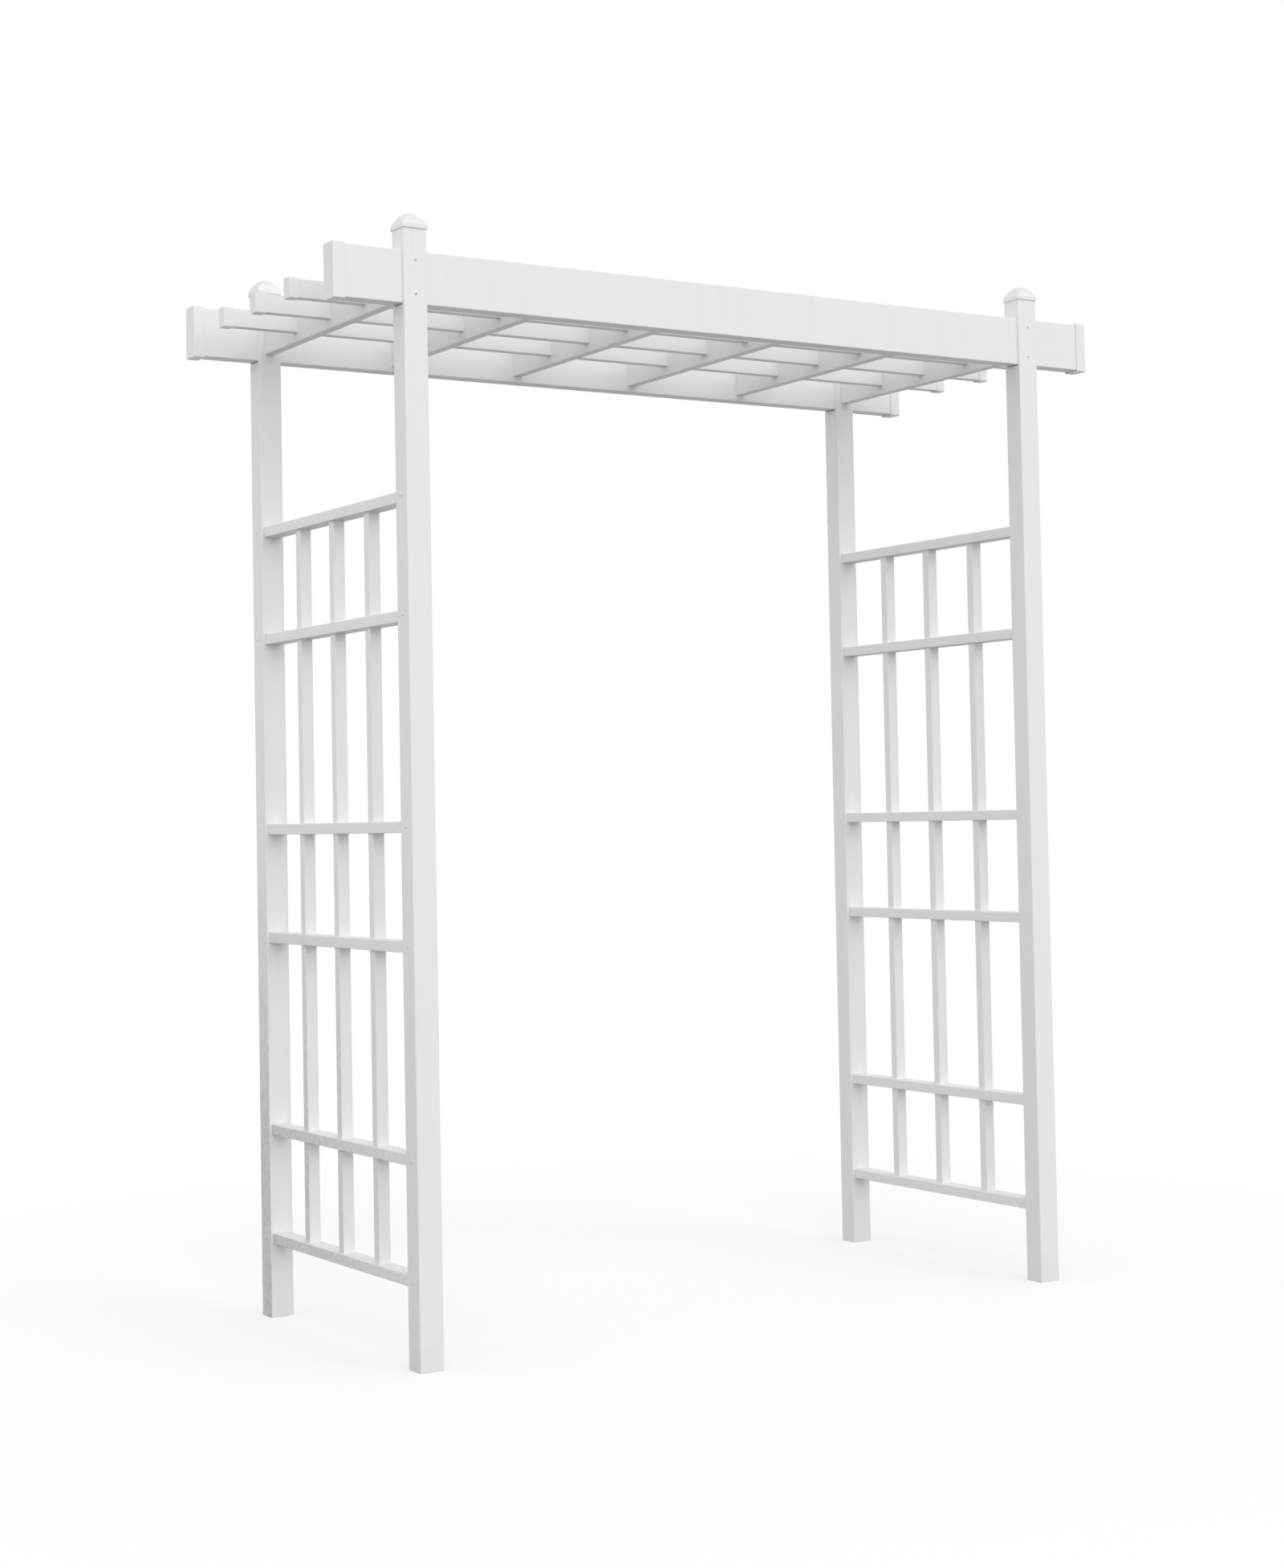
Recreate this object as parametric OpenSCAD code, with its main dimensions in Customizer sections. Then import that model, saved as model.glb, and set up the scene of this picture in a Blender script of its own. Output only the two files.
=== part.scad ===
// Garden arch: a free-standing walk-through arbour of hollow white vinyl sections.
// Four square posts carry two deep beams that pass through them near the top.
// Six joists run front to back between the beams, and three slats run through the joists.
// Each side is a trellis of six rails, let into the posts, with three balusters through them.
// X runs along the beams, Y from front to rear, and Z up. The origin is on the ground,
// in the middle of the four posts.

/* [Footprint] */
// Distance between the left and right post centre lines
span = 1534; // [1000:1:2400]
// Distance between the front and rear post centre lines
depth = 714; // [500:1:1100]

/* [Posts] */
// Outside width of a square post
post_w = 50.8; // [48:0.1:70]
// Wall of a post
post_wall = 2.5; // [1.6:0.1:3.2]
// Outside corner radius of a post
post_corner = 2.5; // [1:0.5:5]
// Height of a post's top above the top of the beams
post_rise = 50; // [30:1:150]

/* [Post caps] */
// Depth of the square skirt that sleeves the post's top
cap_skirt = 7; // [5:0.5:20]
// Wall of the cap
cap_wall = 2.2; // [1.2:0.1:3]
// Outside corner radius of the cap's skirt
cap_corner = 3.5; // [1:0.5:5]
// Height of the flat band between the post's top and the foot of the dome
cap_band = 1.5; // [1.5:0.1:5]
// Step from the skirt's face in to the foot of the dome
cap_step = 1; // [0.5:0.1:3]
// Rise of the four-sided dome
dome_rise = 25.5; // [24:0.5:40]
// Radius of the dome's round crown, seen from the side
crown_radius = 10; // [6:0.5:16]
// Lean of the dome's sides at their foot, in degrees
dome_lean = 8; // [5:1:15]

/* [Beams] */
// Clear height under the beams
headroom = 2061; // [1950:1:2500]
// Height of a beam
beam_h = 104.8; // [95:0.1:140]
// Thickness of a beam
beam_t = 38.1; // [34:0.1:41]
// Wall of a beam
beam_wall = 2.4; // [1.6:0.1:3]
// Outside corner radius of a beam
beam_corner = 2.5; // [1:0.5:4]
// Length of a beam's extrusion, without its end caps
beam_length = 1874; // [1750:1:2900]
// Gap under a beam in its slot through a post
slot_drop = 1.4; // [0.4:0.1:3]

/* [Joists] */
// Number of joists
joist_count = 6; // [3:1:10]
// Height of a joist
joist_h = 76.2; // [60:0.1:90]
// Thickness of a joist
joist_t = 22.2; // [18:0.1:30]
// Wall of a joist
joist_wall = 2; // [1.4:0.1:2.6]
// Outside corner radius of a joist
joist_corner = 1.5; // [0.5:0.5:3]
// Length of a joist that enters a beam, measured from the beam's inner face
joist_entry = 11; // [6:0.5:18]

/* [Slats] */
// Number of slats
slat_count = 3; // [1:1:4]
// Distance between the centre lines of the slats
slat_pitch = 168; // [120:1:190]
// Height of a slat
slat_h = 38.1; // [30:0.1:50]
// Thickness of a slat
slat_t = 22.2; // [18:0.1:30]
// Wall of a slat
slat_wall = 2; // [1.4:0.1:2.6]
// Outside corner radius of a slat
slat_corner = 1.5; // [0.5:0.5:3]
// Length of a slat's extrusion, without its end caps
slat_length = 1884; // [1700:1:2900]

/* [End caps] */
// Length of the skirt of a beam's end cap
beam_cap_skirt = 23; // [10:0.5:40]
// Length of the skirt of a slat's end cap
slat_cap_skirt = 20; // [10:0.5:40]
// Wall of the skirt of a beam's end cap
beam_cap_wall = 2.8; // [1.2:0.1:4]
// Wall of the skirt of a slat's end cap
slat_cap_wall = 2; // [1.2:0.1:3]
// Outside corner radius of an end cap
end_cap_corner = 3; // [1:0.5:5]
// Thickness of an end cap's flat end
end_cap_plate = 2.6; // [1.5:0.1:4]

/* [Side rails] */
// Number of rail pairs on each side
pair_count = 3; // [2:1:4]
// Height of the underside of the lowest rail above the ground
first_rail = 157; // [60:1:200]
// Distance between the two rails of a pair
pair_gap = 232.5; // [150:0.5:300]
// Distance from one pair of rails to the next
pair_pitch = 643.5; // [560:0.5:700]
// Height of a rail
rail_h = 22.2; // [18:0.1:28]
// Width of a rail
rail_w = 38.1; // [36:0.1:41]
// Wall of a rail
rail_wall = 2; // [1.4:0.1:2.6]
// Outside corner radius of a rail
rail_corner = 1.5; // [0.5:0.5:3]
// Gap between a rail's end and the far wall of the post
rail_end_gap = 5; // [1:0.5:10]

/* [Balusters] */
// Number of balusters on each side
baluster_count = 3; // [1:1:4]
// Distance between the centre lines of the balusters
baluster_pitch = 168; // [120:1:180]
// Width of a baluster across the side panel
baluster_w = 25.4; // [18:0.1:28]
// Width of a baluster along the side panel
baluster_d = 22.2; // [18:0.1:28]
// Wall of a baluster
baluster_wall = 1.8; // [1.4:0.1:2.6]
// Outside corner radius of a baluster
baluster_corner = 1.5; // [0.5:0.5:3]

/* [Screws] */
// Radius of a screw's shank
shank_radius = 2; // [1.5:0.1:2.4]
// Length of a screw's shank under its head, with its point
shank_length = 19; // [14:0.5:22]
// Length of a screw's point
point_length = 3; // [2:0.5:5]
// Radius of a screw's head
head_radius = 3.4; // [2.8:0.1:4.5]
// Height of a screw's domed head
head_h = 1.8; // [1.2:0.1:3]
// Height of the upright rim of a screw's head
head_rim = 0.5; // [0.2:0.1:0.8]
// Width of the cross recess in a screw's head
recess_w = 0.8; // [0.5:0.1:1.2]
// Depth of the cross recess in a screw's head
recess_depth = 0.9; // [0.5:0.1:1]
// Distance between the two screws that hold a beam in a post
beam_screw_pitch = 67; // [40:1:80]

/* [Clearances] */
// Clearance on each side of a section in its routed hole
fit = 0.4; // [0.2:0.05:0.8]
// Clearance on each side of a section inside its cap
cap_fit = 0.2; // [0.1:0.05:0.5]
// Clearance round a screw's shank
screw_fit = 0.1; // [0.05:0.05:0.3]

/* [Hidden] */
corner_faces = 32;
dome_faces = 96;
screw_faces = 32;
// How far a cutter runs past the surface that it cuts
over = 1;

half_span = span / 2;
half_depth = depth / 2;
beam_top = headroom + beam_h;
roof_z = headroom + beam_h / 2;
post_h = beam_top + post_rise;
post_bore = post_w - 2 * post_wall;
beam_inner_face = half_depth - beam_t / 2;
joist_length = 2 * (beam_inner_face + joist_entry);
joist_step = span / (joist_count - 1);
rail_length = 2 * (half_depth + post_w / 2 - post_wall - rail_end_gap);
rail_count = 2 * pair_count;
top_rail = rail_count - 1;
cap_outer = post_w + 2 * (cap_fit + cap_wall);
dome_w = cap_outer - 2 * cap_step;
dome_foot = post_h + cap_band;
// The screw's head is cut from a ball that meets the rim's top edge
head_ball = ball_radius(2 * head_radius, head_h - head_rim);
recess_span = 1.2 * head_radius;
beam_screw_h = [roof_z - beam_screw_pitch / 2, roof_z + beam_screw_pitch / 2];
post_signs = [[-1, -1], [1, -1], [-1, 1], [1, 1]];
post_names = ["left_front", "right_front", "left_rear", "right_rear"];
side_names = ["left", "right"];
face_names = ["front", "rear"];

// Height of the underside of rail i, counted from the ground
function rail_z(i) = first_rail + floor(i / 2) * pair_pitch + (i % 2) * pair_gap;

// Radius of a ball of which a cap of this width has this rise
function ball_radius(w, rise) = (w * w / 4 + rise * rise) / (2 * rise);

// Place of member i of a row of n members, centred on zero
function row_place(i, n, pitch) = (i - (n - 1) / 2) * pitch;

// A rectangle with round corners, centred on the origin
module rounded(w, h, r) {
    square([w - 2 * r, h], center = true);
    square([w, h - 2 * r], center = true);
    for (x = [-1, 1], y = [-1, 1]) {
        translate([x * (w / 2 - r), y * (h / 2 - r)]) circle(r, $fn = corner_faces);
    }
}

// A straight bar of a rounded section, centred on the origin, along Z
module bar(w, h, r, length) {
    linear_extrude(length, center = true) rounded(w, h, r);
}

// A hollow extrusion, centred on the origin, along Z
module tube(w, h, r, wall, length) {
    linear_extrude(length, center = true) difference() {
        rounded(w, h, r);
        rounded(w - 2 * wall, h - 2 * wall, max(r - wall, 0.4));
    }
}

// Turns a bar's length to X, its width to Y and its height to Z
module along_x() {
    rotate([90, 0, 90]) children();
}

// Turns a bar's length to Y, keeping its width on X and its height on Z
module along_y() {
    rotate([90, 0, 0]) children();
}

// A round-headed screw with its head's seat at the origin and its point along -Z
module screw() {
    difference() {
        union() {
            intersection() {
                cylinder(h = head_h, r = head_radius, $fn = screw_faces);
                translate([0, 0, head_h - head_ball]) sphere(head_ball, $fn = dome_faces);
            }
            translate([0, 0, point_length - shank_length])
                cylinder(h = shank_length - point_length, r = shank_radius, $fn = screw_faces);
            translate([0, 0, -shank_length])
                cylinder(h = point_length, r1 = 0, r2 = shank_radius, $fn = screw_faces);
        }
        for (turn = [0, 90]) {
            rotate(turn) translate([0, 0, head_h])
                cube([recess_span, recess_w, 2 * recess_depth], center = true);
        }
    }
}

// Everything that is cut from the left front post: its slots, mortises and screw holes
module post_cuts() {
    // Slot through both side walls for the beam
    translate([0, 0, roof_z + fit / 2 - slot_drop / 2])
        along_x() bar(beam_t + 2 * fit, beam_h + slot_drop + fit, beam_corner + fit, post_w + 2 * over);
    // Mortise in the inner wall for the end joist
    translate([0, post_w / 2, roof_z])
        along_y() bar(joist_t + 2 * fit, joist_h + 2 * fit, joist_corner + fit, 2 * (post_wall + over));
    // Mortises in the inner wall for the side rails
    for (i = [0:top_rail]) {
        translate([0, post_w / 2, rail_z(i) + rail_h / 2])
            along_y() bar(rail_w + 2 * fit, rail_h + 2 * fit, rail_corner + fit, 2 * (post_wall + over));
    }
    // Holes in the outer side wall for the rail screws
    for (i = [0:top_rail]) {
        translate([-post_w / 2, 0, rail_z(i) + rail_h / 2]) rotate([0, 90, 0]) screw_hole(post_wall);
    }
    // Holes in the outer face for the beam screws
    for (z = beam_screw_h) {
        translate([0, -post_w / 2, z]) rotate([-90, 0, 0]) screw_hole(post_wall);
    }
}

// A screw's clearance hole through a wall, along Z, with the wall's outer face at z = 0
module screw_hole(wall) {
    translate([0, 0, -over])
        cylinder(h = wall + 2 * over, r = shank_radius + screw_fit, $fn = screw_faces);
}

// A post, whose place is given by the signs of its X and Y
module post(place) {
    color("white")
    translate([place.x * half_span, place.y * half_depth, 0])
        mirror([place.x > 0 ? 1 : 0, 0, 0]) mirror([0, place.y > 0 ? 1 : 0, 0])
            difference() {
                translate([0, 0, post_h / 2]) tube(post_w, post_w, post_corner, post_wall, post_h);
                post_cuts();
            }
}

// The outline of a dome's side: two wide arcs that lean in from the feet, under a round crown
module dome_outline(w, rise, crown) {
    crown_h = rise - crown;
    side = side_radius(w / 2, rise, crown);
    shift = [side * cos(dome_lean) - w / 2, side * sin(dome_lean)];
    turn = atan2(crown_h + shift.y, shift.x);
    joint = [crown * cos(turn), crown_h + crown * sin(turn)];
    intersection() {
        translate([-shift.x, -shift.y]) circle(side, $fn = dome_faces);
        translate([shift.x, -shift.y]) circle(side, $fn = dome_faces);
        translate([-w / 2, 0]) square([w, joint.y]);
    }
    intersection() {
        translate([0, crown_h]) circle(crown, $fn = dome_faces);
        translate([-joint.x, joint.y]) square([2 * joint.x, rise - joint.y]);
    }
}

// Radius of the side arc that leaves the foot at the dome's lean and runs smoothly into the crown
function side_radius(half_w, rise, crown) =
    (half_w * half_w + (rise - crown) * (rise - crown) - crown * crown)
    / (2 * (half_w * cos(dome_lean) - (rise - crown) * sin(dome_lean) - crown));

// A four-sided dome whose ridges meet at the top, standing on z = 0
module dome(w, rise, crown) {
    intersection() {
        rotate([90, 0, 0]) linear_extrude(w, center = true) dome_outline(w, rise, crown);
        rotate([90, 0, 90]) linear_extrude(w, center = true) dome_outline(w, rise, crown);
    }
}

// The moulded cap on a post's top
module post_cap(place) {
    color("white")
    translate([place.x * half_span, place.y * half_depth, 0])
        difference() {
            union() {
                translate([0, 0, dome_foot - (cap_skirt + cap_band) / 2])
                    bar(cap_outer, cap_outer, cap_corner, cap_skirt + cap_band);
                translate([0, 0, dome_foot]) dome(dome_w, dome_rise, crown_radius);
            }
            translate([0, 0, post_h - (cap_skirt + over) / 2])
                bar(post_w + 2 * cap_fit, post_w + 2 * cap_fit, post_corner + cap_fit, cap_skirt + over);
            translate([0, 0, post_h - over])
                dome(post_bore, dome_rise + over + cap_band - cap_wall, crown_radius - cap_wall);
        }
}

// A beam: face is -1 for the front one and 1 for the rear one
module beam(face) {
    color("white")
    translate([0, face * half_depth, roof_z])
        mirror([0, face > 0 ? 1 : 0, 0])
            difference() {
                along_x() tube(beam_t, beam_h, beam_corner, beam_wall, beam_length);
                for (i = [0:joist_count - 1]) {
                    translate([row_place(i, joist_count, joist_step), beam_t / 2, 0])
                        along_y() bar(joist_t + 2 * fit, joist_h + 2 * fit, joist_corner + fit,
                            2 * (beam_wall + over));
                }
                for (x = [-half_span, half_span], z = beam_screw_h) {
                    translate([x, -beam_t / 2, z - roof_z]) rotate([-90, 0, 0]) screw_hole(beam_wall);
                }
            }
}

// A cap over the end of a section, with its flat end on +Z and its mouth at z = 0
module end_cap(w, h, r, skirt, wall) {
    rim = 2 * (cap_fit + wall);
    difference() {
        translate([0, 0, (skirt + end_cap_plate) / 2])
            bar(w + rim, h + rim, end_cap_corner, skirt + end_cap_plate);
        translate([0, 0, (skirt - over) / 2])
            bar(w + 2 * cap_fit, h + 2 * cap_fit, r + cap_fit, skirt + over);
    }
}

// Places an end cap at the end of a section that runs along X: side is -1 or 1
module at_end(side, length, skirt) {
    mirror([side < 0 ? 1 : 0, 0, 0])
        translate([length / 2 + cap_fit - skirt, 0, 0]) along_x() children();
}

module beam_cap(face, side) {
    color("white")
    translate([0, face * half_depth, roof_z])
        at_end(side, beam_length, beam_cap_skirt)
            end_cap(beam_t, beam_h, beam_corner, beam_cap_skirt, beam_cap_wall);
}

// Joist i, counted from the left, with its holes for the slats
module joist(i) {
    color("white")
    translate([row_place(i, joist_count, joist_step), 0, roof_z])
        difference() {
            along_y() tube(joist_t, joist_h, joist_corner, joist_wall, joist_length);
            for (j = [0:slat_count - 1]) {
                translate([0, row_place(j, slat_count, slat_pitch), 0])
                    along_x() bar(slat_t + 2 * fit, slat_h + 2 * fit, slat_corner + fit, joist_t + 2 * over);
            }
        }
}

// Slat i, counted from the front
module slat(i) {
    color("white")
    translate([0, row_place(i, slat_count, slat_pitch), roof_z])
        along_x() tube(slat_t, slat_h, slat_corner, slat_wall, slat_length);
}

module slat_cap(i, side) {
    color("white")
    translate([0, row_place(i, slat_count, slat_pitch), roof_z])
        at_end(side, slat_length, slat_cap_skirt)
            end_cap(slat_t, slat_h, slat_corner, slat_cap_skirt, slat_cap_wall);
}

// Rail i of one side, counted from the ground: side is -1 for left and 1 for right
module rail(side, i) {
    color("white")
    translate([side * half_span, 0, rail_z(i) + rail_h / 2])
        difference() {
            along_y() tube(rail_w, rail_h, rail_corner, rail_wall, rail_length);
            for (j = [0:baluster_count - 1]) {
                translate([0, row_place(j, baluster_count, baluster_pitch), 0]) baluster_hole(i);
            }
            for (y = [-half_depth, half_depth]) {
                translate([side * rail_w / 2, y, 0]) rotate([0, -90 * side, 0]) screw_hole(rail_wall);
            }
        }
}

// The lowest rail is open only on top, the highest only below, and the others right through
module baluster_hole(i) {
    low = i == 0 ? 0 : -rail_h / 2 - over;
    high = i == top_rail ? 0 : rail_h / 2 + over;
    translate([0, 0, (low + high) / 2])
        bar(baluster_w + 2 * fit, baluster_d + 2 * fit, baluster_corner + fit, high - low);
}

// A baluster stands on the floor inside the lowest rail and ends under the highest rail's top wall
module baluster(side, i) {
    foot = rail_z(0) + rail_wall;
    head = rail_z(top_rail) + rail_h - rail_wall - fit;
    color("white")
    translate([side * half_span, row_place(i, baluster_count, baluster_pitch), (foot + head) / 2])
        tube(baluster_w, baluster_d, baluster_corner, baluster_wall, head - foot);
}

// The screws through the outer walls of one side's posts into its rails
module rail_screws(side) {
    color("gainsboro")
    for (y = [-half_depth, half_depth], i = [0:top_rail]) {
        translate([side * (half_span + post_w / 2), y, rail_z(i) + rail_h / 2])
            rotate([0, 90 * side, 0]) screw();
    }
}

// The screws through one pair of posts into the beam between them
module beam_screws(face) {
    color("gainsboro")
    for (x = [-half_span, half_span], z = beam_screw_h) {
        translate([x, face * (half_depth + post_w / 2), z]) rotate([-90 * face, 0, 0]) screw();
    }
}

for (i = [0:3]) {
    post(post_signs[i]);
    post_cap(post_signs[i]);
}
for (f = [0, 1]) {
    beam(2 * f - 1);
    beam_screws(2 * f - 1);
    for (s = [0, 1]) {
        beam_cap(2 * f - 1, 2 * s - 1);
    }
}
for (i = [0:joist_count - 1]) {
    joist(i);
}
for (i = [0:slat_count - 1]) {
    slat(i);
    for (s = [0, 1]) {
        slat_cap(i, 2 * s - 1);
    }
}
for (s = [0, 1]) {
    for (i = [0:top_rail]) {
        rail(2 * s - 1, i);
    }
    for (i = [0:baluster_count - 1]) {
        baluster(2 * s - 1, i);
    }
    rail_screws(2 * s - 1);
}
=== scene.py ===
# %% [markdown]
# A white garden arch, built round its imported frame
#
# The object is a free-standing arch of hollow white vinyl: square posts, deep beams, a roof of
# joists and slats, and two trellis sides. Nearly every piece of it is one idea, a rounded
# rectangle drawn out along a line, so this lesson builds one loft and uses it for everything
# from a two-metre post to a screw. The frame says how large each piece is and where it lies,
# so no piece is fitted by eye.

# %% Load the frame and keep its box
import math
import bpy
import bmesh
from mathutils import Matrix, Vector


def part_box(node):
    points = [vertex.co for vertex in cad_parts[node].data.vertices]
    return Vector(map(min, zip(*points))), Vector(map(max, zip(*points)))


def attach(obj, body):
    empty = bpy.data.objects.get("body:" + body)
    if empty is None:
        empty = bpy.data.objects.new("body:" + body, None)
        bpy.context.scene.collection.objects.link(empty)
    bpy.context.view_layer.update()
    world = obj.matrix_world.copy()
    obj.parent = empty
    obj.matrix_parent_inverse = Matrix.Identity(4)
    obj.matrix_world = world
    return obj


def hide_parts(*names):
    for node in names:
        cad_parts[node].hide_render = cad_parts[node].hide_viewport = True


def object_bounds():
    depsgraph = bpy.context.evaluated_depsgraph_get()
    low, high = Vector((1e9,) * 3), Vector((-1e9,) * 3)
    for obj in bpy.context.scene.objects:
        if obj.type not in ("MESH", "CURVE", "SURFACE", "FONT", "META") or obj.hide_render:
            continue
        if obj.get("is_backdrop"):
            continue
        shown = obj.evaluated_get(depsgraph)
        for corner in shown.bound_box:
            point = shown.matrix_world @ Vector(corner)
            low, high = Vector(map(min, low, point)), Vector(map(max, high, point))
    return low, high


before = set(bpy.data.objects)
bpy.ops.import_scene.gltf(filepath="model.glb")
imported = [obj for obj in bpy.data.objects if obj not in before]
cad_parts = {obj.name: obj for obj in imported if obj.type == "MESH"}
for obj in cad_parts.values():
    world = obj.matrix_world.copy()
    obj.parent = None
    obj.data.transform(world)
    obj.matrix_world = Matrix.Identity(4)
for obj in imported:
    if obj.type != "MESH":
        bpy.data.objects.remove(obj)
cad_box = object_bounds()
mm = 0.001
right_angle = math.pi / 2
print("frame holds", len(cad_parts), "nodes; box", [round(s, 4) for s in cad_box[1] - cad_box[0]])

# %% [markdown]
# Node trees as Python expressions
#
# A shader or a geometry tree is a small program, and it reads best as one. The first class
# below wraps a node's output, so that a sum or a product of wires adds the Math node for it.
# The second wraps a tree and has one method that makes any other node. Clicking the nodes
# together by hand would give the same trees, but nobody could read them afterwards.

# %% A wire that Python's operators can join
class Wire:
    def __init__(self, tree, socket):
        self.tree = tree
        self.socket = socket

    def out(self, name):
        return Wire(self.tree, self.socket.node.outputs[name])

    def __add__(self, other):
        return self.tree.math("ADD", self, other)

    def __radd__(self, other):
        return self.tree.math("ADD", other, self)

    def __sub__(self, other):
        return self.tree.math("SUBTRACT", self, other)

    def __rsub__(self, other):
        return self.tree.math("SUBTRACT", other, self)

    def __mul__(self, other):
        return self.tree.math("MULTIPLY", self, other)

    def __rmul__(self, other):
        return self.tree.math("MULTIPLY", other, self)

    def __truediv__(self, other):
        return self.tree.math("DIVIDE", self, other)

    def __rtruediv__(self, other):
        return self.tree.math("DIVIDE", other, self)

    def __mod__(self, other):
        return self.tree.math("MODULO", self, other)


# %% A tree with one method for any node
class Tree:
    def __init__(self, node_tree):
        self.node_tree = node_tree

    def node(self, kind, settings=None, inputs=None, output=0):
        made = self.node_tree.nodes.new(kind)
        for name, value in (settings or {}).items():
            setattr(made, name, value)
        for name, value in (inputs or {}).items():
            self.feed(made.inputs[name], value)
        return Wire(self, made.outputs[output]) if made.outputs else made

    def feed(self, socket, value):
        if isinstance(value, Wire):
            self.node_tree.links.new(value.socket, socket)
        else:
            socket.default_value = value

    def is_vector(self, value):
        return value.socket.type == "VECTOR" if isinstance(value, Wire) else hasattr(value, "__len__")

    def math(self, operation, *values):
        kind = "ShaderNodeVectorMath" if any(map(self.is_vector, values)) else "ShaderNodeMath"
        return self.node(kind, {"operation": operation}, dict(enumerate(values)))

    def split(self, vector):
        made = self.node("ShaderNodeSeparateXYZ", inputs={0: vector})
        return made.out("X"), made.out("Y"), made.out("Z")

    def join(self, x, y, z):
        return self.node("ShaderNodeCombineXYZ", inputs={"X": x, "Y": y, "Z": z})

    def whole(self, number, share):
        """How many whole shares a whole number holds. The half keeps rounding away from the next one."""
        return self.math("FLOOR", (number + 0.5) / share)


# %% A geometry tree with named inputs, and its modifier
def geometry_tree(name, sizes):
    group = bpy.data.node_groups.new(name, "GeometryNodeTree")
    group.interface.new_socket("Geometry", in_out="INPUT", socket_type="NodeSocketGeometry")
    for size, kind in sizes.items():
        group.interface.new_socket(size, in_out="INPUT", socket_type="NodeSocket" + kind)
    group.interface.new_socket("Geometry", in_out="OUTPUT", socket_type="NodeSocketGeometry")
    tree = Tree(group)
    return tree, tree.node("NodeGroupInput")


def finish_tree(tree, geometry):
    tree.node("NodeGroupOutput", inputs={"Geometry": geometry})
    print("tree", tree.node_tree.name, "has", len(tree.node_tree.nodes), "nodes")
    return tree.node_tree


def use_tree(piece, group, **values):
    modifier = piece.modifiers.new(group.name, "NODES")
    modifier.node_group = group
    named = {name.replace("_", " "): value for name, value in values.items()}
    for item in group.interface.items_tree:
        if item.item_type == "SOCKET" and item.in_out == "INPUT" and item.name in named:
            modifier[item.identifier] = named.pop(item.name)
    assert not named, f"{group.name} has no input named {sorted(named)}"


# %% [markdown]
# One loft for every piece
#
# A vinyl section, a moulded cap and a screw all have rounded rectangles as cross-sections. So
# the builder writes only an outline: a short row of points, where each says how far the ring is
# let in from the face, the radius of its corners and its height. The tree spreads one ring of
# points for each, so hips that soften into a round crown come from growing the corner radius.
# Bevelling a box would give the sections too, but not the domes.

# %% The loft tree
weld_distance = 0.001 * mm
tree, given = geometry_tree("loft", {"Width": "Float", "Height": "Float", "Corner Steps": "Int"})
outline = given.out("Geometry")
rings = tree.node("GeometryNodeAttributeDomainSize", {"component": "MESH"}, {"Geometry": outline})
steps = given.out("Corner Steps")
around = 4 * (steps + 1)
sheet = tree.node("GeometryNodeMeshGrid", inputs={
    "Size X": 1, "Size Y": 1, "Vertices X": around + 1, "Vertices Y": rings})
index = tree.node("GeometryNodeInputIndex")
spoke = tree.whole(index, rings)
ring_number = index - spoke * rings
turned = spoke % around
quarter = tree.whole(turned, steps + 1)
angle = (quarter + (turned - quarter * (steps + 1)) / steps) * right_angle
diagonal = (quarter + 0.5) * right_angle
point = tree.node("GeometryNodeSampleIndex", {"data_type": "FLOAT_VECTOR", "domain": "POINT"}, {
    "Geometry": outline, "Value": tree.node("GeometryNodeInputPosition"), "Index": ring_number})
inset, radius, height = tree.split(point)


def loft_place(side, wave):
    """How far a ring's point lies from the axis, along one of its two directions."""
    reach = side / 2 - inset - radius
    return tree.math("SIGN", tree.math(wave, diagonal)) * reach + radius * tree.math(wave, angle)


across = loft_place(given.out("Width"), "COSINE")
up_side = loft_place(given.out("Height"), "SINE")
moved = tree.node("GeometryNodeSetPosition", inputs={
    "Geometry": sheet, "Position": tree.join(across, up_side, height)})
closed = tree.node("GeometryNodeMergeByDistance", inputs={"Geometry": moved, "Distance": weld_distance})
LOFT = finish_tree(tree, closed)

# %% [markdown]
# Laying a piece in its place, with two finishes on it
#
# A section comes off the saw standing on its end. This tree gives its long faces the skin of the
# extrusion and its flat ends the look of a fresh cut, then lays it along its own direction. It
# knows an end by its normal, which points along the section by more than a set share.

# %% The tree that finishes and places a piece
end_share = 0.6
tree, given = geometry_tree("lay", {
    "Turn": "Vector", "Place": "Vector", "Skin": "Material", "Cut": "Material", "Cut Ends": "Bool"})
face_z = tree.math("ABSOLUTE", tree.split(tree.node("GeometryNodeInputNormal"))[2])
faces_end = tree.node("FunctionNodeCompare", {"operation": "GREATER_THAN"}, {"A": face_z, "B": end_share})
is_end = tree.node("FunctionNodeBooleanMath", {"operation": "AND"}, {0: faces_end, 1: given.out("Cut Ends")})
skinned = tree.node("GeometryNodeSetMaterial", inputs={
    "Geometry": given.out("Geometry"), "Material": given.out("Skin")})
sawn = tree.node("GeometryNodeSetMaterial", inputs={
    "Geometry": skinned, "Selection": is_end, "Material": given.out("Cut")})
laid = tree.node("GeometryNodeTransform", inputs={
    "Geometry": sawn, "Translation": given.out("Place"), "Rotation": given.out("Turn")})
LAY = finish_tree(tree, laid)

# %% [markdown]
# Rows of holes and rows of screws
#
# The factory routs its holes in rows from one jig, and the screws follow the same rows. So one
# small group works out the places of up to three nested rows, and two trees use it: one cuts
# a router bit's shape out of the piece at each place, and the other leaves a screw there.

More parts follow.
